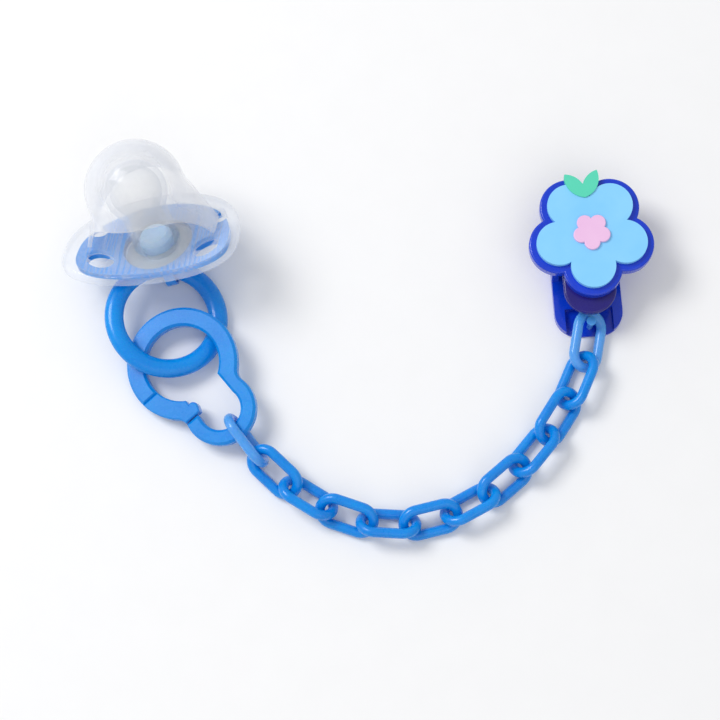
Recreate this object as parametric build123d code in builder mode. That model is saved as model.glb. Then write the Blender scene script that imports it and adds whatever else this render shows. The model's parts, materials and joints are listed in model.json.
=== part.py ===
"""Pacifier with a ring handle, a snap clasp, a linked chain and a garment clip.

Millimetres, +Z up. The whole set lies on the plane Z = 0, with the origin below the
middle of its bounding box: +X runs from the pacifier towards the clip.
"""

import os
from math import asin, copysign, cos, degrees, pi, radians, sin

from build123d import *

# ---- where things lie ------------------------------------------------------------
RING_CENTRE = Vector(-45.8, 8.4, 4.8)
RING_SLOPE = (-0.210, -0.030)       # rise of the ring's plane per mm along X and Y
RING_YAW = -2.0                     # degrees from -Y to the way the ring points
CLASP_OFFSET = Vector(4.1, -11.2)   # ring centre to big loop centre, along the table
CLASP_HEIGHT = 4.4
CLASP_SLOPE = (0.190, 0.112)
CLASP_HEADING = -50.6               # degrees, big loop to small loop
SHIELD_YAW = 27.5
SHIELD_TILT = 34.1
SHIELD_SPIN = -30.3

# ---- ring handle -----------------------------------------------------------------
RING_RADIUS = 12.45                 # to the middle of the band
RING_BAND = 4.5
RING_THICKNESS = 3.4

# ---- clasp -----------------------------------------------------------------------
CLASP_THICKNESS = 3.2
BIG_OUTER = 13.4
BIG_INNER = 9.0
SMALL_OUTER = 8.6
SMALL_INNER = 5.0
LOOP_SPACING = 14.4
NECK_WIDTH = 9.8
GATE_ROOT = 1.5                     # along the clasp from the big loop's centre
GATE_TIP = 12.0
GATE_GAP = 0.3                      # round the gate's free end
ROOT_GAP = 0.05

# ---- chain -----------------------------------------------------------------------
LINK_LENGTH = 15.4
LINK_WIDTH = 9.0
LINK_WIRE = 2.4
LINK_PITCH = 10.0
BOW_PLAY = 0.7                      # from the clasp's band to the first link's bow
LINK_ROLL = 38.0                    # every other link leans the other way
FIRST_ROLL = -71.0
LAST_ROLL = 31.0
SECOND_PITCH = -5.0                 # the second link leans down from the first one
LAST_PITCH = 3.0                    # the last link slopes up onto the clip's tail
HEADINGS = [-52, -43, -32, -19, -3, 14, 29, 41, 51, 58, 67, 80]
CHAIN_HEIGHT = (LINK_WIDTH - LINK_WIRE) / 2 * sin(radians(LINK_ROLL)) + LINK_WIRE / 2

# ---- shield and teat, heights from the middle of the shield's front face ----------
SHIELD_WIDTH = 43.4
SHIELD_DROP = 3.0                   # from the nipple axis down to the widest line
SHIELD_ABOVE = 19.8                 # from the widest line up to the domed upper edge
SHIELD_BELOW = 9.6                  # and down to the flat lower edge
UPPER_ROUNDNESS = 1.85              # superellipse powers of the two edges
LOWER_ROUNDNESS = 4.2
SHIELD_BEND = 58.5                  # radius of the bend across the width
SHELL_THICKNESS = 1.4
PLATE_THICKNESS = 1.6
PLATE_INSET = 2.8
NECK_HOLE = 5.7
RIM_ROUNDING = 1.0
RIM_POINTS = 32
FLANGE_RADIUS = 8.4
FLANGE_THICKNESS = 1.3
TEAT_NECK = 5.4
TEAT_BULB = 7.5
BULB_HEIGHT = 15.5
TEAT_WALL = 1.3
PLUG_RADIUS = TEAT_NECK - TEAT_WALL - 0.1
PLUG_FLANGE = 1.2
EYE_DEPTH = 9.4                     # front face to the middle of the ring's eye
EYE_RADIUS = 3.25
EYE_WALL = 0.9
EYE_LENGTH = 2.4
HUB_BASE = 1.2
HUB_RADIUS = 7.4
LONG_VENT = (13.2, -5.0, 2.9, 2.0, 12)      # place across and up, half width, half height, turn
ROUND_VENT = (15.4, 4.8, 1.8, 1.4, -25)
VENT_PLAY = 0.4

# ---- cover -----------------------------------------------------------------------
COVER_WALL = 1.1
COVER_FOOT = 17.2
COVER_WAIST = 13.8
WAIST_HEIGHT = 8.0
COVER_DOME = 11.8
DOME_HEIGHT = 16.0
COVER_CLEARANCE = 0.35
COVER_ROUNDING = 0.4
LEG_WIDTH = 5.4                     # of the two side legs, at their feet
ARCH_REACH = 13.0
ARCH_HEIGHT = 14.0                  # from the shield's face to the top of each arch

# ---- clip, measured from the hinge pin along the clip ------------------------------
CLIP_YAW = 4.0
CLIP_WIDTH = 16.2
TAIL_END = -17.6
JAW_END = 16.0
PLATE = 2.2
TAIL_FLOOR = 0.6
LEVER_ROUNDING = 0.5
POST_PLACE = -15.3
POST_RADIUS = 0.7
POST_HEAD = 1.1
POST_TOP = 6.2
HEAD_THICKNESS = 0.7
TAIL_POCKET = (11.4, 12.6)          # width and length of the hollow round the post
PIN_HEIGHT = 5.6
PIN_RADIUS = 1.0
EAR = 1.6
LEVER_WIDTH = 12.4
LEVER_BOTTOM = 8.8
LEVER_TOP = 10.2
LEVER_TAIL = -14.6
LEVER_JAW = 15.0
KNUCKLE_RADIUS = 2.2
RUNNING = 0.06
PAD = 1.0
SPRING_WIRE = 0.7
SPRING_RADIUS = 1.75
SPRING_TURNS = 6

# ---- badge -----------------------------------------------------------------------
BADGE_CENTRE = (1.2, 4.2)
BADGE_BASE = 2.4
PETAL_THICKNESS = 1.3
PETALS = 5
PETAL_TURN = -20.0
PETAL_PLACE = 8.2
PETAL_RADIUS = 5.3
BADGE_MARGIN = 1.7
BLOSSOM_THICKNESS = 0.7
LEAF_ARC = 5.0                      # each leaf is where two circles of this radius meet
LEAF_HALF = 1.7
LEAF_FOOT = (-0.8, 8.9)
LEAF_TURNS = (128, 62)
LEAF_RISE = 0.4

os.makedirs("parts", exist_ok=True)


def save(part, name):
    """Label a finished piece and write it as parts/name.step."""
    part.part.label = name
    export_step(part.part, f"parts/{name}.step")


def flat_direction(angle):
    """The level unit vector that points at angle, in degrees from +X."""
    return Vector(cos(radians(angle)), sin(radians(angle)), 0)


def sloping_plane(origin, heading, slope):
    """A plane with the given slope, whose x axis runs along heading."""
    way = flat_direction(heading)
    rise = slope[0] * way.X + slope[1] * way.Y
    return Plane(origin=origin, x_dir=Vector(way.X, way.Y, rise), z_dir=Vector(-slope[0], -slope[1], 1))


def upright(base, along=0.0):
    """The plane through base's x and z axes, moved along base's y axis."""
    return Plane(origin=base.origin + base.y_dir * along, x_dir=base.x_dir, z_dir=-base.y_dir)


def crosswise(base, along=0.0):
    """The plane through base's y and z axes, moved along base's x axis."""
    return Plane(origin=base.origin + base.x_dir * along, x_dir=base.y_dir, z_dir=base.x_dir)


# ---- planes ----------------------------------------------------------------------
ring_plane = sloping_plane(RING_CENTRE, RING_YAW, RING_SLOPE)
eye = ring_plane.origin + ring_plane.y_dir * RING_RADIUS

nipple_way = Vector(-sin(radians(SHIELD_YAW)) * sin(radians(SHIELD_TILT)),
                    cos(radians(SHIELD_YAW)) * sin(radians(SHIELD_TILT)),
                    cos(radians(SHIELD_TILT)))
shield_level = Plane(origin=eye + nipple_way * EYE_DEPTH, x_dir=flat_direction(SHIELD_YAW), z_dir=nipple_way)
spin_way = shield_level.x_dir * cos(radians(SHIELD_SPIN)) + shield_level.y_dir * sin(radians(SHIELD_SPIN))
shield_plane = Plane(origin=shield_level.origin, x_dir=spin_way, z_dir=nipple_way)

clasp_origin = Vector(RING_CENTRE.X + CLASP_OFFSET.X, RING_CENTRE.Y + CLASP_OFFSET.Y, CLASP_HEIGHT)
clasp_plane = sloping_plane(clasp_origin, CLASP_HEADING, CLASP_SLOPE)


def link_plane(centre, heading, pitch, roll):
    """The plane of a link: x along the chain, turned by roll about that axis."""
    way = flat_direction(heading) * cos(radians(pitch)) + Vector(0, 0, sin(radians(pitch)))
    side = Vector(0, 0, 1).cross(way).normalized()
    normal = way.cross(side)
    leaning = normal * cos(radians(roll)) - side * sin(radians(roll))
    return Plane(origin=centre, x_dir=way, z_dir=leaning)


# The first link's bow goes round the middle of the small loop's far end.
band_middle = clasp_plane.origin + clasp_plane.x_dir * (LOOP_SPACING + (SMALL_OUTER + SMALL_INNER) / 2)
link_hole = LINK_LENGTH / 2 - LINK_WIRE
first_reach = link_hole - (SMALL_OUTER - SMALL_INNER) / 2 - BOW_PLAY
second_height = CHAIN_HEIGHT - LINK_PITCH * sin(radians(SECOND_PITCH))
first_pitch = -degrees(asin((band_middle.Z - second_height) / (first_reach + LINK_PITCH / 2)))
level_links = len(HEADINGS) - 3
pitches = [first_pitch, SECOND_PITCH] + level_links * [0] + [LAST_PITCH]
link_planes = []
pivot = band_middle
for index, (heading, pitch) in enumerate(zip(HEADINGS, pitches)):
    first = index == 0
    last = index == len(HEADINGS) - 1
    roll = FIRST_ROLL if first else LAST_ROLL if last else LINK_ROLL * (1 if index % 2 else -1)
    reach = first_reach if first else LINK_PITCH / 2
    way = flat_direction(heading) * cos(radians(pitch)) + Vector(0, 0, sin(radians(pitch)))
    centre = pivot + way * reach
    link_planes.append(link_plane(centre, heading, pitch, roll))
    pivot = centre + way * LINK_PITCH / 2

last_reach = link_hole - POST_RADIUS - 0.2
post_point = link_planes[-1].origin + link_planes[-1].x_dir * last_reach
clip_up = flat_direction(90 + CLIP_YAW)
clip_origin = Vector(post_point.X, post_point.Y, 0) - clip_up * POST_PLACE
clip_plane = Plane(origin=clip_origin, x_dir=flat_direction(CLIP_YAW), z_dir=(0, 0, 1))

# ---- ring handle -----------------------------------------------------------------
with BuildPart() as ring_handle:
    with BuildSketch(upright(ring_plane)):
        with Locations((RING_RADIUS, 0)):
            Ellipse(RING_BAND / 2, RING_THICKNESS / 2)
    revolve(axis=Axis(ring_plane.origin, ring_plane.z_dir))
save(ring_handle, "ring_handle")

# ---- clasp -----------------------------------------------------------------------
clasp_bottom = clasp_plane.offset(-CLASP_THICKNESS / 2)


def gate_region(start, end):
    """The part of the clasp's band that lies between start and end along the clasp."""
    with BuildSketch(mode=Mode.PRIVATE) as region:
        with Locations((start, 0)):
            Rectangle(end - start, BIG_OUTER, align=(Align.MIN, Align.MAX))
    return region.sketch_local


def clasp_outline():
    """The band of the clasp: two joined loops with one hole that runs through both."""
    with BuildSketch(mode=Mode.PRIVATE) as outline:
        Circle(BIG_OUTER)
        with Locations((LOOP_SPACING, 0)):
            Circle(SMALL_OUTER)
        fillet(outline.vertices(), 3.0)
        Circle(BIG_INNER, mode=Mode.SUBTRACT)
        with Locations((LOOP_SPACING, 0)):
            Circle(SMALL_INNER, mode=Mode.SUBTRACT)
        with Locations((LOOP_SPACING / 2, 0)):
            Rectangle(LOOP_SPACING, NECK_WIDTH, mode=Mode.SUBTRACT)
    return outline.sketch_local


with BuildPart() as clasp_frame:
    with BuildSketch(clasp_bottom):
        add(clasp_outline())
        add(gate_region(GATE_ROOT, GATE_TIP), mode=Mode.SUBTRACT)
    extrude(amount=CLASP_THICKNESS)
    chamfer(clasp_frame.faces().filter_by(Axis(clasp_plane.origin, clasp_plane.z_dir)).edges(), 0.6)
save(clasp_frame, "clasp_frame")

with BuildPart() as clasp_gate:
    with BuildSketch(clasp_bottom):
        add(clasp_outline())
        with Locations((GATE_TIP - 1.2, -NECK_WIDTH / 2)):
            SlotOverall(4.4, 2.4, rotation=-20)
        add(gate_region(GATE_ROOT + ROOT_GAP, GATE_TIP - GATE_GAP), mode=Mode.INTERSECT)
    extrude(amount=CLASP_THICKNESS)
    chamfer(clasp_gate.faces().filter_by(Axis(clasp_plane.origin, clasp_plane.z_dir)).edges(), 0.3)
save(clasp_gate, "clasp_gate")

# ---- chain links -----------------------------------------------------------------
bow = (LINK_WIDTH - LINK_WIRE) / 2
straight = (LINK_LENGTH - LINK_WIRE) / 2 - bow
for number, plane in enumerate(link_planes, 1):
    with BuildPart() as link:
        with BuildLine(plane) as path:
            Line((-straight, bow), (straight, bow))
            ThreePointArc((straight, bow), (straight + bow, 0), (straight, -bow))
            Line((straight, -bow), (-straight, -bow))
            ThreePointArc((-straight, -bow), (-straight - bow, 0), (-straight, bow))
        with BuildSketch(Plane(origin=path.line @ 0, x_dir=plane.z_dir, z_dir=path.line % 0)):
            Circle(LINK_WIRE / 2)
        sweep(path=path.line)
    save(link, f"link_{number:02d}")


# ---- shield ----------------------------------------------------------------------
def shield_outline(inset):
    """The shield's outline, domed above its widest line and flatter below, drawn inset."""
    points = []
    for step in range(RIM_POINTS):
        turn = 2 * pi * step / RIM_POINTS
        height, power = (SHIELD_ABOVE, UPPER_ROUNDNESS) if sin(turn) >= 0 else (SHIELD_BELOW, LOWER_ROUNDNESS)
        across = copysign(abs(cos(turn)) ** (2 / power), cos(turn))
        up = copysign(abs(sin(turn)) ** (2 / power), sin(turn))
        points.append(((SHIELD_WIDTH / 2 - inset) * across, (height - inset) * up - SHIELD_DROP))
    with BuildSketch(mode=Mode.PRIVATE) as outline:
        with BuildLine():
            Spline(*points, periodic=True)
        make_face()
    return outline.sketch_local


def bent_layer(top, thickness):
    """A sketch of a layer across the width, bent about the shield's bend radius."""
    reach = SHIELD_WIDTH / 2 + 1
    with BuildSketch(mode=Mode.PRIVATE) as layer:
        with Locations((0, SHIELD_BEND)):
            Circle(SHIELD_BEND - top + thickness)
            Circle(SHIELD_BEND - top, mode=Mode.SUBTRACT)
        with Locations((0, 0)):
            Rectangle(2 * reach, 16, mode=Mode.INTERSECT)
    return layer.sketch_local


def bend(top, thickness, mode):
    """Keep or cut a bent layer right across the part in hand."""
    with BuildSketch(upright(shield_plane, -SHIELD_WIDTH)) as layer:
        add(bent_layer(top, thickness))
    extrude(layer.sketch, amount=-2 * SHIELD_WIDTH, mode=mode)


def vent_sketch(grow):
    """Four air holes: two long ones near the lower edge and two round ones above."""
    with BuildSketch(mode=Mode.PRIVATE) as vents:
        for side in (-1, 1):
            for across, up, half_width, half_height, turn in (LONG_VENT, ROUND_VENT):
                with Locations((side * across, up)):
                    Ellipse(half_width + grow, half_height + grow, rotation=side * turn)
    return vents.sketch_local


shield_back = shield_plane.offset(-10)
with BuildPart() as plate_room:
    with BuildSketch(shield_back):
        add(shield_outline(PLATE_INSET))
    extrude(amount=20)
    bend(-SHELL_THICKNESS, PLATE_THICKNESS + 1, Mode.INTERSECT)

with BuildPart() as shield_shell:
    with BuildSketch(shield_back):
        add(shield_outline(0))
        add(vent_sketch(0), mode=Mode.SUBTRACT)
        Circle(NECK_HOLE, mode=Mode.SUBTRACT)
    extrude(amount=20)
    bend(0, SHELL_THICKNESS + PLATE_THICKNESS, Mode.INTERSECT)
    add(plate_room.part, mode=Mode.SUBTRACT)
    outer_wall = shield_shell.faces().filter_by(GeomType.EXTRUSION).sort_by(SortBy.AREA)[-1]
    fillet(outer_wall.edges(), RIM_ROUNDING)
save(shield_shell, "shield_shell")

with BuildPart() as shield_plate:
    with BuildSketch(shield_back):
        add(shield_outline(PLATE_INSET))
        add(vent_sketch(VENT_PLAY), mode=Mode.SUBTRACT)
        Circle(FLANGE_RADIUS + 0.1, mode=Mode.SUBTRACT)
    extrude(amount=20)
    bend(-SHELL_THICKNESS, PLATE_THICKNESS, Mode.INTERSECT)
save(shield_plate, "shield_plate")

# ---- teat, its plug and the ring's hub, all turned about the nipple axis ------------
nipple_axis = Axis(shield_plane.origin, shield_plane.z_dir)
flange_top = -SHELL_THICKNESS - 0.05
flange_bottom = flange_top - FLANGE_THICKNESS


def teat_profile(shrink, foot):
    """Half of the teat's outline as a closed sketch, shrunk by the wall thickness."""
    neck = TEAT_NECK - shrink
    bulb = TEAT_BULB - shrink
    join = BULB_HEIGHT - (bulb ** 2 - neck ** 2) ** 0.5
    with BuildSketch(mode=Mode.PRIVATE) as profile:
        with BuildLine():
            Polyline((0, BULB_HEIGHT + bulb), (0, foot), (neck, foot), (neck, join))
            ThreePointArc((neck, join), (bulb, BULB_HEIGHT), (0, BULB_HEIGHT + bulb))
        make_face()
    return profile.sketch_local


with BuildPart() as teat:
    with BuildSketch(upright(shield_plane)):
        add(teat_profile(0, flange_bottom))
        with Locations((FLANGE_RADIUS / 2, (flange_top + flange_bottom) / 2)):
            Rectangle(FLANGE_RADIUS, FLANGE_THICKNESS)
        add(teat_profile(TEAT_WALL, flange_bottom), mode=Mode.SUBTRACT)
    revolve(axis=nipple_axis)
save(teat, "teat")

plug_bottom = flange_bottom - PLUG_FLANGE
with BuildPart() as teat_plug:
    with BuildSketch(upright(shield_plane)):
        with Locations((FLANGE_RADIUS / 2, (flange_bottom + plug_bottom) / 2)):
            Rectangle(FLANGE_RADIUS, PLUG_FLANGE)
        with BuildLine():
            Polyline((0, plug_bottom), (PLUG_RADIUS, plug_bottom), (PLUG_RADIUS, 1.0),
                     (PLUG_RADIUS - 0.8, 2.2), (0, 2.2), close=True)
        make_face()
    revolve(axis=nipple_axis)
save(teat_plug, "teat_plug")

# The eye lines up with the ring's tangent as seen along the nipple axis.
tangent = ring_plane.x_dir
hub_x = (tangent - nipple_way * tangent.dot(nipple_way)).normalized()
hub_plane = Plane(origin=shield_plane.origin, x_dir=hub_x, z_dir=nipple_way)
boss_radius = EYE_RADIUS + EYE_WALL
with BuildPart() as ring_hub:
    with BuildSketch(hub_plane.offset(plug_bottom - HUB_BASE)):
        Circle(HUB_RADIUS)
    extrude(amount=HUB_BASE)
    with BuildSketch(crosswise(hub_plane)):
        with Locations((0, -EYE_DEPTH)):
            Circle(boss_radius)
        with Locations((0, (plug_bottom - EYE_DEPTH) / 2)):
            Rectangle(2 * boss_radius, EYE_DEPTH + plug_bottom)
    extrude(amount=EYE_LENGTH / 2, both=True)
    with BuildSketch(crosswise(hub_plane)):
        with Locations((0, -EYE_DEPTH)):
            Circle(EYE_RADIUS)
    extrude(amount=EYE_LENGTH, both=True, mode=Mode.SUBTRACT)
    eye_edges = ring_hub.edges().filter_by(GeomType.CIRCLE).filter_by(lambda e: abs(e.radius - EYE_RADIUS) < 0.01)
    chamfer(eye_edges, 0.4)
save(ring_hub, "ring_hub")


# ---- cover -----------------------------------------------------------------------
def cover_profile(shrink):
    """Half of the cover's bell outline, closed to the axis, shrunk by the wall."""
    dome = COVER_DOME - shrink
    with BuildSketch(mode=Mode.PRIVATE) as profile:
        with BuildLine():
            side = Spline((COVER_FOOT - shrink, -1), (COVER_WAIST - shrink, WAIST_HEIGHT), (dome, DOME_HEIGHT),
                          tangents=[(-0.15, 1), (0, 1)])
            dome_arc = ThreePointArc(side @ 1, (dome * cos(radians(45)), DOME_HEIGHT + dome * sin(radians(45))),
                                     (0, DOME_HEIGHT + dome))
            Polyline(dome_arc @ 1, (0, -1), side @ 0)
        make_face()
    return profile.sketch_local


with BuildPart() as cover_cap:
    with BuildSketch(upright(shield_plane)):
        add(cover_profile(0))
        add(cover_profile(COVER_WALL), mode=Mode.SUBTRACT)
    revolve(axis=nipple_axis)
    bend(COVER_CLEARANCE, 6, Mode.SUBTRACT)
    with BuildSketch(crosswise(shield_plane)):
        for side in (-1, 1):
            with Locations((side * (LEG_WIDTH / 2 + ARCH_REACH), 0)):
                Ellipse(ARCH_REACH, ARCH_HEIGHT)
    extrude(amount=2 * COVER_FOOT, both=True, mode=Mode.SUBTRACT)
    fillet(cover_cap.edges(), COVER_ROUNDING)
save(cover_cap, "cover_cap")


# ---- clip ------------------------------------------------------------------------
def rounded_plate(length_low, length_high, width, corner_low, corner_high):
    """A plate along the clip with rounded ends."""
    with BuildSketch(mode=Mode.PRIVATE) as plate:
        with Locations((0, (length_low + length_high) / 2)):
            Rectangle(width, length_high - length_low)
        ends = plate.vertices().group_by(Axis.Y)
        fillet(ends[0], corner_low)
        top = plate.vertices().group_by(Axis.Y)[-1]
        fillet(top, corner_high)
    return plate.sketch_local


with BuildPart() as clip_back:
    with BuildSketch(clip_plane):
        add(rounded_plate(TAIL_END, JAW_END, CLIP_WIDTH, 5.5, 3.0))
    extrude(amount=PLATE)
    with BuildSketch(clip_plane.offset(TAIL_FLOOR)):
        with Locations((0, POST_PLACE - 2)):
            Rectangle(*TAIL_POCKET)
    extrude(amount=PLATE, mode=Mode.SUBTRACT)
    for side in (-1, 1):
        with BuildSketch(crosswise(clip_plane, side * (CLIP_WIDTH / 2 - EAR / 2))):
            with Locations((0, PIN_HEIGHT)):
                Circle(KNUCKLE_RADIUS)
            with BuildLine():
                Polyline((-4, PLATE), (4, PLATE), (KNUCKLE_RADIUS, PIN_HEIGHT), (-KNUCKLE_RADIUS, PIN_HEIGHT),
                         close=True)
            make_face()
            with Locations((0, PIN_HEIGHT)):
                Circle(PIN_RADIUS, mode=Mode.SUBTRACT)
        extrude(amount=EAR / 2, both=True)
save(clip_back, "clip_back")

with BuildPart() as chain_post:
    with BuildSketch(clip_plane.offset(TAIL_FLOOR)):
        with Locations((0, POST_PLACE)):
            Circle(POST_RADIUS)
    extrude(amount=POST_TOP - TAIL_FLOOR)
    with BuildSketch(clip_plane.offset(POST_TOP - HEAD_THICKNESS)):
        with Locations((0, POST_PLACE)):
            Circle(POST_HEAD)
    extrude(amount=HEAD_THICKNESS)
save(chain_post, "chain_post")

knuckle_place = LEVER_WIDTH / 2 - 0.4 - EAR / 2
jaw_bottom = PLATE + 2 * PAD
with BuildPart() as clip_lever:
    with BuildSketch(clip_plane.offset(LEVER_BOTTOM)):
        add(rounded_plate(LEVER_TAIL, LEVER_JAW, LEVER_WIDTH, 6.1, 3.0))
    extrude(amount=LEVER_TOP - LEVER_BOTTOM)
    with BuildSketch(clip_plane.offset(jaw_bottom)):
        with Locations((0, LEVER_JAW - 2.5)):
            RectangleRounded(LEVER_WIDTH - 0.6, 4.4, 1.0)
    extrude(amount=LEVER_BOTTOM - jaw_bottom)
    for side in (-1, 1):
        with BuildSketch(crosswise(clip_plane, side * knuckle_place)):
            with Locations((0, PIN_HEIGHT)):
                Circle(KNUCKLE_RADIUS)
            with BuildLine():
                Polyline((-4, LEVER_BOTTOM), (4, LEVER_BOTTOM), (KNUCKLE_RADIUS, PIN_HEIGHT),
                         (-KNUCKLE_RADIUS, PIN_HEIGHT), close=True)
            make_face()
            with Locations((0, PIN_HEIGHT)):
                Circle(PIN_RADIUS + RUNNING, mode=Mode.SUBTRACT)
        extrude(amount=EAR / 2, both=True)
    fillet(clip_lever.faces().sort_by(Axis.Z)[-1].edges(), LEVER_ROUNDING)
save(clip_lever, "clip_lever")

with BuildPart() as back_pad:
    with BuildSketch(clip_plane.offset(PLATE)):
        with Locations((0, LEVER_JAW - 2.5)):
            RectangleRounded(LEVER_WIDTH - 1, 4, 0.8)
    extrude(amount=PAD - 0.02)
save(back_pad, "back_pad")

with BuildPart() as lever_pad:
    with BuildSketch(clip_plane.offset(PLATE + PAD + 0.02)):
        with Locations((0, LEVER_JAW - 2.5)):
            RectangleRounded(LEVER_WIDTH - 1, 4, 0.8)
    extrude(amount=PAD - 0.02)
save(lever_pad, "lever_pad")

with BuildPart() as hinge_pin:
    with BuildSketch(crosswise(clip_plane)):
        with Locations((0, PIN_HEIGHT)):
            Circle(PIN_RADIUS)
    extrude(amount=CLIP_WIDTH / 2, both=True)
save(hinge_pin, "hinge_pin")

coil_pitch = SPRING_WIRE + 0.12
coil_length = SPRING_TURNS * coil_pitch
coil_start = clip_plane.origin + Vector(0, 0, PIN_HEIGHT) + clip_plane.x_dir * coil_length / 2
spring_feet = [(coil_length / 2, -5.5, PLATE + SPRING_WIRE / 2),
               (-coil_length / 2, -5.5, LEVER_BOTTOM - SPRING_WIRE / 2)]
with BuildPart() as torsion_spring:
    with BuildLine():
        coil = Helix(pitch=coil_pitch, height=coil_length, radius=SPRING_RADIUS,
                     center=coil_start, direction=-clip_plane.x_dir)
    with BuildSketch(Plane(origin=coil @ 0, z_dir=coil % 0)):
        Circle(SPRING_WIRE / 2)
    sweep(path=coil)
    for end, foot in zip((coil @ 0, coil @ 1), spring_feet):
        with BuildLine():
            leg = Line(end, clip_plane.from_local_coords(foot))
        with BuildSketch(Plane(origin=end, z_dir=leg % 0)):
            Circle(SPRING_WIRE / 2)
        sweep(path=leg)
save(torsion_spring, "torsion_spring")

# ---- badge: a plain five-petal flower -----------------------------------------------
badge_top = LEVER_TOP + BADGE_BASE
badge_plane = Plane(origin=clip_plane.from_local_coords((*BADGE_CENTRE, 0)), x_dir=clip_plane.x_dir, z_dir=(0, 0, 1))


def flower(place, radius, middle):
    """A flower outline: petals in a circle round a filled middle."""
    with BuildSketch(mode=Mode.PRIVATE) as outline:
        Circle(middle)
        with PolarLocations(place, PETALS, start_angle=PETAL_TURN):
            Circle(radius)
    return outline.sketch_local


def leaves():
    """Two pointed leaves that spread from one foot near the flower's upper edge."""
    half_length = (LEAF_ARC ** 2 - (LEAF_ARC - LEAF_HALF) ** 2) ** 0.5
    with BuildSketch(mode=Mode.PRIVATE) as pair:
        for turn in LEAF_TURNS:
            with BuildSketch(mode=Mode.PRIVATE) as leaf:
                with Locations((half_length * 0.9, LEAF_ARC - LEAF_HALF)):
                    Circle(LEAF_ARC)
                with Locations((half_length * 0.9, LEAF_HALF - LEAF_ARC)):
                    Circle(LEAF_ARC, mode=Mode.INTERSECT)
            with Locations(Location((*LEAF_FOOT, 0), (0, 0, turn))):
                add(leaf.sketch_local)
    return pair.sketch_local


with BuildPart() as badge_base:
    with BuildSketch(badge_plane.offset(LEVER_TOP)):
        add(flower(PETAL_PLACE, PETAL_RADIUS + BADGE_MARGIN, PETAL_PLACE))
    extrude(amount=BADGE_BASE)
    fillet(badge_base.faces().sort_by(Axis.Z)[-1].edges(), 0.5)
save(badge_base, "badge_base")

with BuildPart() as badge_petals:
    with BuildSketch(badge_plane.offset(badge_top)):
        add(flower(PETAL_PLACE, PETAL_RADIUS, PETAL_PLACE))
        add(leaves(), mode=Mode.SUBTRACT)
    extrude(amount=PETAL_THICKNESS)
save(badge_petals, "badge_petals")

with BuildPart() as badge_leaf:
    with BuildSketch(badge_plane.offset(badge_top)):
        add(leaves())
    extrude(amount=PETAL_THICKNESS + LEAF_RISE)
save(badge_leaf, "badge_leaf")

petals_top = badge_top + PETAL_THICKNESS
with BuildPart() as badge_blossom:
    with BuildSketch(badge_plane.offset(petals_top)):
        add(flower(2.6, 1.9, 2.6))
    extrude(amount=BLOSSOM_THICKNESS)
    fillet(badge_blossom.faces().sort_by(Axis.Z)[-1].edges(), 0.25)
save(badge_blossom, "badge_blossom")
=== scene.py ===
"""Looks for the pacifier, its clasp, chain and clip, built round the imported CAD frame.

Metres, +Z up, in the row frame. The CAD nodes keep their shapes and get moulded-plastic,
metal and rubber materials. The soft teat is a mesh piece that stands for its CAD node.
"""

import json
import math

import bmesh
import bpy
from mathutils import Matrix, Vector


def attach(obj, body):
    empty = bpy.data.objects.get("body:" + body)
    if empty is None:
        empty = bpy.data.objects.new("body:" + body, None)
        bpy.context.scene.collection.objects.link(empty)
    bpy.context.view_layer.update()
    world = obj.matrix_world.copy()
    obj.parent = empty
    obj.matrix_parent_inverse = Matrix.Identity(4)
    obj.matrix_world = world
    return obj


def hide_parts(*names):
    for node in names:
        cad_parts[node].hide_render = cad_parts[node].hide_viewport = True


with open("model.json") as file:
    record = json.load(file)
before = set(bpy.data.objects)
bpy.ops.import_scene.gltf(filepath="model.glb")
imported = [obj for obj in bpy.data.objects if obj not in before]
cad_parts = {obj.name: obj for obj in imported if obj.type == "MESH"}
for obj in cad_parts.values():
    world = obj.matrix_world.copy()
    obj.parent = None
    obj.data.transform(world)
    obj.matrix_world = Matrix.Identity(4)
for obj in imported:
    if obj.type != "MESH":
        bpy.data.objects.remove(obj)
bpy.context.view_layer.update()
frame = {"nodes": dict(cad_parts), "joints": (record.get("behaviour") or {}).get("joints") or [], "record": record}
MM = 0.001
JOINTS = {joint["name"]: joint for joint in frame["joints"]}

# ---- the pacifier's own axes, from the joints ----------------------------------------
NIPPLE_WAY = Vector(JOINTS["cover_pull"]["axis"]).normalized()
EYE = Vector(JOINTS["ring_swing"]["pos_m"])
EYE_DEPTH = 9.4 * MM                # shield's front face to the middle of the ring's eye
ACROSS = Vector(JOINTS["ring_swing"]["axis"])
ACROSS = (ACROSS - NIPPLE_WAY * ACROSS.dot(NIPPLE_WAY)).normalized()
SHIELD_FRAME = Matrix.Translation(EYE + NIPPLE_WAY * EYE_DEPTH) @ Matrix(
    (ACROSS, NIPPLE_WAY.cross(ACROSS), NIPPLE_WAY)).transposed().to_4x4()

# ---- teat ------------------------------------------------------------------------
TEAT_WALL = 1.3 * MM
FLANGE_RADIUS = 8.4 * MM
FLANGE_TOP = -1.45 * MM
FLANGE_BOTTOM = -2.75 * MM
BULB_RADIUS = 7.5 * MM
BULB_HEIGHT = 15.5 * MM
STEM = [(5.2, 0.3), (5.35, 2.0), (5.65, 4.5), (5.5, 7.0), (5.35, 8.6)]   # radius and height, mm
LATHE_STEPS = 96
EDGE = 0.3 * MM                     # the flange's corner rounding
STEM_FILLET = 0.4 * MM              # where the stem meets the flange
BULB_STEPS = 14
BULB_START = math.radians(-42)      # where the bulb's outside begins, below its widest line
BORE_START = math.radians(-48)      # the same for its bore
POLE_GAP = 0.02                     # radians left open at the bulb's tip

# ---- camera and light ------------------------------------------------------------
VIEW_CENTRE = Vector((0.0001, -0.0006, 0.0))
VIEW_ELEVATION = 75.0
VIEW_DISTANCE = 0.6
VIEW_WIDTH = 0.1714                 # metres across the picture at the view's centre
SENSOR_WIDTH = 36.0
NEAREST = 0.01
FLOOR_HALF = 3.0
STUDIO_COLOUR = (0.97, 0.98, 1.0, 1)
STUDIO_STRENGTH = 0.6

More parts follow.
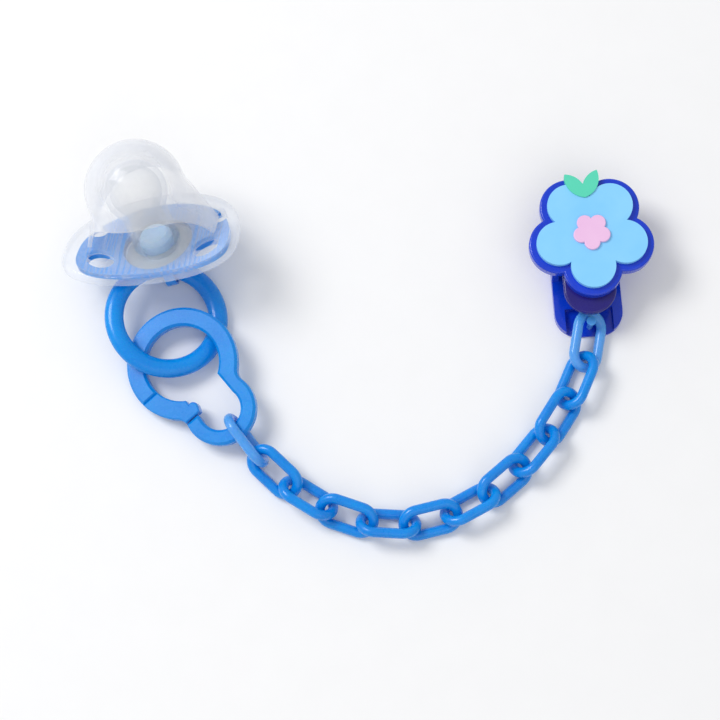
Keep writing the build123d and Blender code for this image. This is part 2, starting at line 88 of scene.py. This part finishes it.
# ---- plastics --------------------------------------------------------------------
NOISE_RANGE = (0.3, 0.7)            # noise values that become the two ends of a spread
SCATTER = (0.6, 1.6, 3.2)           # how far red, green and blue light spread, relative to each other
SCATTER_SCALE = 0.9 * MM
CLOUD_SCALE = 110                   # noise scales are in cycles per metre
GLOSS_SCALE = 700
PLASTIC_IOR = 1.49
PLASTIC_SPECULAR = 0.35
COAT_ROUGHNESS = 0.08
CLEAR_IOR = 1.45
CLEAR_COAT = 0.6
CLEAR_COAT_ROUGHNESS = 0.04
CLEAR_GLOSS_SCALE = 500
HAZE_SCALE = 160
HAZE_RANGE = (0.88, 1.12)           # how much a clear part's opacity is uneven
RIPPLE_SCALE = 900
RIPPLE_HEIGHT = 0.006 * MM

# ---- steel -----------------------------------------------------------------------
MARK_SCALE = 4000
MARK_SHADE = 0.7                    # a mark's colour against the colour round it
STEEL_GLOSS_SCALE = 1500
STEEL_ROUGHNESS = (0.18, 0.36)
STEEL_GRAIN_SCALE = 5000
STEEL_GRAIN_HEIGHT = 0.003 * MM


# ---- materials -------------------------------------------------------------------
def new_material(name):
    """A node material, its node tree and its shader."""
    material = bpy.data.materials.new(name)
    material.use_nodes = True
    tree = material.node_tree
    shader = tree.nodes["Principled BSDF"]
    return material, tree, shader


def noise(tree, scale, detail=3.0):
    """Noise on object coordinates, in cycles per metre."""
    place = tree.nodes.new("ShaderNodeTexCoord")
    texture = tree.nodes.new("ShaderNodeTexNoise")
    texture.inputs["Scale"].default_value = scale
    texture.inputs["Detail"].default_value = detail
    tree.links.new(place.outputs["Object"], texture.inputs["Vector"])
    return texture.outputs["Fac"]


def spread(tree, value, low, high):
    """value, a noise, with NOISE_RANGE spread over low to high."""
    mapped = tree.nodes.new("ShaderNodeMapRange")
    for socket, number in zip(("From Min", "From Max", "To Min", "To Max"), (*NOISE_RANGE, low, high)):
        mapped.inputs[socket].default_value = number
    tree.links.new(value, mapped.inputs["Value"])
    return mapped.outputs["Result"]


def blend_colours(tree, factor, first, second):
    """A colour between first and second, by factor."""
    mix = tree.nodes.new("ShaderNodeMix")
    mix.data_type = "RGBA"
    mix.inputs["A"].default_value = (*first, 1)
    mix.inputs["B"].default_value = (*second, 1)
    tree.links.new(factor, mix.inputs["Factor"])
    return mix.outputs["Result"]


def add_bump(tree, shader, scale, height, detail=3.0):
    """A shallow bump of the given height in metres, from noise of the given scale."""
    bump = tree.nodes.new("ShaderNodeBump")
    bump.inputs["Distance"].default_value = height
    bump.inputs["Strength"].default_value = 1.0
    tree.links.new(noise(tree, scale, detail), bump.inputs["Height"])
    tree.links.new(bump.outputs["Normal"], shader.inputs["Normal"])


def moulded(name, colour, deep, rough=(0.22, 0.34), glow=0.0, grain=6000, grain_height=1e-6, coat=0.0):
    """Moulded plastic: cloudy colour between colour and deep, uneven gloss and a fine grain.

    glow is how much of the light scatters inside a translucent plastic, from 0 to 1.
    """
    material, tree, shader = new_material(name)
    cloud = spread(tree, noise(tree, CLOUD_SCALE), 0, 1)
    tree.links.new(blend_colours(tree, cloud, colour, deep), shader.inputs["Base Color"])
    tree.links.new(spread(tree, noise(tree, GLOSS_SCALE), *rough), shader.inputs["Roughness"])
    shader.inputs["IOR"].default_value = PLASTIC_IOR
    shader.inputs["Specular IOR Level"].default_value = PLASTIC_SPECULAR
    if glow:
        shader.inputs["Subsurface Weight"].default_value = glow
        shader.inputs["Subsurface Radius"].default_value = SCATTER
        shader.inputs["Subsurface Scale"].default_value = SCATTER_SCALE
    if coat:
        shader.inputs["Coat Weight"].default_value = coat
        shader.inputs["Coat Roughness"].default_value = COAT_ROUGHNESS
    add_bump(tree, shader, grain, grain_height)
    return material


def clear(name, colour, painted_rim_colour, face, edge, rough=(0.05, 0.14), power=0.35):
    """Clear plastic or silicone: see-through where it is faced, more opaque towards its edges, where its colour
    turns to a painted edge tint: partly the longer path through the material, partly painted shade and light
    standing in for refraction at its edges.

    face and edge are its opacity seen square on and at a glancing angle; the second colour is its painted edge
    tint at a glancing angle.
    """
    material, tree, shader = new_material(name)
    weight = tree.nodes.new("ShaderNodeLayerWeight")
    weight.inputs["Blend"].default_value = power
    # painted edge tint: the colour turns from the first to the second colour as the surface turns away, painted
    # shade and light for refraction at the edges
    tree.links.new(blend_colours(tree, weight.outputs["Facing"], colour, painted_rim_colour), shader.inputs["Base Color"])
    opacity = tree.nodes.new("ShaderNodeMapRange")
    opacity.inputs["To Min"].default_value = face
    opacity.inputs["To Max"].default_value = edge
    tree.links.new(weight.outputs["Facing"], opacity.inputs["Value"])
    haze = tree.nodes.new("ShaderNodeMath")
    haze.operation = "MULTIPLY"
    tree.links.new(opacity.outputs["Result"], haze.inputs[0])
    tree.links.new(spread(tree, noise(tree, HAZE_SCALE), *HAZE_RANGE), haze.inputs[1])
    tree.links.new(haze.outputs[0], shader.inputs["Alpha"])
    tree.links.new(spread(tree, noise(tree, CLEAR_GLOSS_SCALE), *rough), shader.inputs["Roughness"])
    shader.inputs["IOR"].default_value = CLEAR_IOR
    shader.inputs["Coat Weight"].default_value = CLEAR_COAT
    shader.inputs["Coat Roughness"].default_value = CLEAR_COAT_ROUGHNESS
    add_bump(tree, shader, RIPPLE_SCALE, RIPPLE_HEIGHT)
    return material


def metal(name, colour):
    """Bright drawn steel with fine marks."""
    material, tree, shader = new_material(name)
    shader.inputs["Metallic"].default_value = 1.0
    marks = spread(tree, noise(tree, MARK_SCALE), 0, 1)
    darker = [MARK_SHADE * channel for channel in colour]
    tree.links.new(blend_colours(tree, marks, colour, darker), shader.inputs["Base Color"])
    tree.links.new(spread(tree, noise(tree, STEEL_GLOSS_SCALE), *STEEL_ROUGHNESS), shader.inputs["Roughness"])
    add_bump(tree, shader, STEEL_GRAIN_SCALE, STEEL_GRAIN_HEIGHT)
    return material


MATERIALS = {
    # the second colour of each clear material is its painted edge tint, partly the longer path through the
    # material and partly painted shade and light for refraction at its edges
    "clear_shell": clear("clear_shell", (0.86, 0.90, 0.96), (0.90, 0.92, 0.96), face=0.10, edge=0.50),
    "clear_cover": clear("clear_cover", (0.93, 0.94, 0.97), (0.82, 0.85, 0.93), face=0.17, edge=0.62),
    "silicone": clear("silicone", (0.88, 0.92, 0.98), (0.78, 0.86, 0.97), face=0.07, edge=0.55),
    "blue_plate": moulded("blue_plate", (0.02, 0.26, 0.74), (0.04, 0.31, 0.78), glow=0.2, coat=0.1),
    "white_plastic": moulded("white_plastic", (0.50, 0.70, 0.90), (0.44, 0.64, 0.88), glow=0.3),
    "ring_blue": moulded("ring_blue", (0.0, 0.27, 0.76), (0.0, 0.22, 0.69), glow=0.2, coat=0.15),
    "link_blue": moulded("link_blue", (0.0, 0.28, 0.78), (0.0, 0.21, 0.68), glow=0.3, coat=0.2),
    "link_pale": moulded("link_pale", (0.10, 0.36, 0.80), (0.05, 0.29, 0.74), glow=0.4, coat=0.3),
    "royal_blue": moulded("royal_blue", (0.0, 0.045, 0.62), (0.0, 0.035, 0.52), coat=0.35),
    "navy": moulded("navy", (0.012, 0.006, 0.19), (0.010, 0.004, 0.15), coat=0.3),
    "steel": metal("steel", (0.72, 0.73, 0.75)),
    "pad": moulded("pad", (0.02, 0.02, 0.06), (0.03, 0.03, 0.07), rough=(0.55, 0.75), grain=3500,
                   grain_height=3e-5),
    "petal_blue": moulded("petal_blue", (0.22, 0.60, 0.95), (0.26, 0.64, 0.97), rough=(0.42, 0.55)),
    "blossom_pink": moulded("blossom_pink", (0.82, 0.50, 0.77), (0.86, 0.55, 0.80), rough=(0.42, 0.55)),
    "leaf_green": moulded("leaf_green", (0.09, 0.64, 0.44), (0.11, 0.68, 0.48), rough=(0.42, 0.55)),
}

for subpart in frame["record"]["subparts"]:
    node = frame["nodes"][subpart["node"]]
    node.data.materials.clear()
    node.data.materials.append(MATERIALS[subpart["material_slot"]])


# ---- teat ------------------------------------------------------------------------
def lathe(name, profile, placing):
    """A closed solid turned about its own z axis from a closed profile of (radius, height)."""
    mesh = bmesh.new()
    rings = []
    turns = [2 * math.pi * step / LATHE_STEPS for step in range(LATHE_STEPS)]
    for radius, height in profile:
        rings.append([mesh.verts.new(placing @ Vector((radius * math.cos(t), radius * math.sin(t), height)))
                      for t in turns])
    for lower, upper in zip(rings, rings[1:] + rings[:1]):
        for step in range(LATHE_STEPS):
            after = (step + 1) % LATHE_STEPS
            mesh.faces.new((lower[step], lower[after], upper[after], upper[step]))
    bmesh.ops.recalc_face_normals(mesh, faces=mesh.faces)
    data = bpy.data.meshes.new(name)
    mesh.to_mesh(data)
    mesh.free()
    data.polygons.foreach_set("use_smooth", [True] * len(data.polygons))
    piece = bpy.data.objects.new(name, data)
    bpy.context.scene.collection.objects.link(piece)
    return piece


def bulb_curve(radius, start):
    """The bulb's round side from its underneath to its tip, as (radius, height)."""
    reach = math.pi / 2 - POLE_GAP - start
    angles = [start + reach * step / BULB_STEPS for step in range(BULB_STEPS + 1)]
    return [(radius * math.cos(a), BULB_HEIGHT + radius * math.sin(a)) for a in angles]


def teat():
    """The hollow silicone teat: flange, slightly barrelled stem and round bulb."""
    stem = [(radius * MM, height * MM) for radius, height in STEM]
    foot = stem[0][0]
    flange = [(FLANGE_RADIUS - EDGE, FLANGE_BOTTOM), (FLANGE_RADIUS, FLANGE_BOTTOM + EDGE),
              (FLANGE_RADIUS, FLANGE_TOP - EDGE), (FLANGE_RADIUS - EDGE, FLANGE_TOP),
              (foot + STEM_FILLET, FLANGE_TOP), (foot, FLANGE_TOP + STEM_FILLET)]
    outside = flange + stem + bulb_curve(BULB_RADIUS, BULB_START)
    inner_bulb = bulb_curve(BULB_RADIUS - TEAT_WALL, BORE_START)
    inner_stem = [(radius - TEAT_WALL, height) for radius, height in stem]
    inside = inner_bulb[::-1] + inner_stem[::-1] + [(foot - TEAT_WALL, FLANGE_BOTTOM)]
    piece = lathe("teat_soft", outside + inside, SHIELD_FRAME)
    smooth = piece.modifiers.new("smooth", "SUBSURF")
    smooth.levels = smooth.render_levels = 1
    piece.data.materials.append(MATERIALS["silicone"])
    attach(piece, "pacifier")
    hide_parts("teat")


teat()


# ---- stage -----------------------------------------------------------------------
def floor():
    """A plain pale floor that the set lies on."""
    half = FLOOR_HALF
    corners = [(-half, -half, 0), (half, -half, 0), (half, half, 0), (-half, half, 0)]
    data = bpy.data.meshes.new("floor")
    data.from_pydata(corners, [], [(0, 1, 2, 3)])
    plane = bpy.data.objects.new("floor", data)
    bpy.context.scene.collection.objects.link(plane)
    paint = moulded("floor", (0.90, 0.90, 0.905), (0.89, 0.89, 0.895), rough=(0.7, 0.8))
    data.materials.append(paint)


def area_light(name, place, size, power, colour):
    """A square soft light that faces the middle of the set."""
    light = bpy.data.lights.new(name, "AREA")
    light.size = size
    light.energy = power
    light.color = colour
    lamp = bpy.data.objects.new(name, light)
    lamp.location = place
    lamp.rotation_euler = (VIEW_CENTRE - Vector(place)).to_track_quat("-Z", "Y").to_euler()
    bpy.context.scene.collection.objects.link(lamp)


def surroundings():
    """The studio's even light from all round."""
    world = bpy.data.worlds.new("studio")
    world.use_nodes = True
    background = world.node_tree.nodes["Background"]
    background.inputs["Color"].default_value = STUDIO_COLOUR
    background.inputs["Strength"].default_value = STUDIO_STRENGTH
    bpy.context.scene.world = world


def camera():
    """The photographer's camera: above the set, looking along +Y."""
    data = bpy.data.cameras.new("camera")
    data.sensor_width = SENSOR_WIDTH
    data.lens = SENSOR_WIDTH * VIEW_DISTANCE / VIEW_WIDTH
    data.clip_start = NEAREST
    viewer = bpy.data.objects.new("camera", data)
    rise = math.radians(VIEW_ELEVATION)
    away = Vector((0, -math.cos(rise), math.sin(rise)))
    viewer.location = VIEW_CENTRE + away * VIEW_DISTANCE
    viewer.rotation_euler = (-away).to_track_quat("-Z", "Y").to_euler()
    bpy.context.scene.collection.objects.link(viewer)
    bpy.context.scene.camera = viewer


floor()
surroundings()
area_light("key", place=(-0.55, 0.28, 0.75), size=0.4, power=5.2, colour=(1.0, 0.99, 0.97))
area_light("front", place=(0.25, -0.6, 0.8), size=0.9, power=1.6, colour=(0.97, 0.98, 1.0))
camera()
bpy.context.scene.view_settings.view_transform = "Standard"
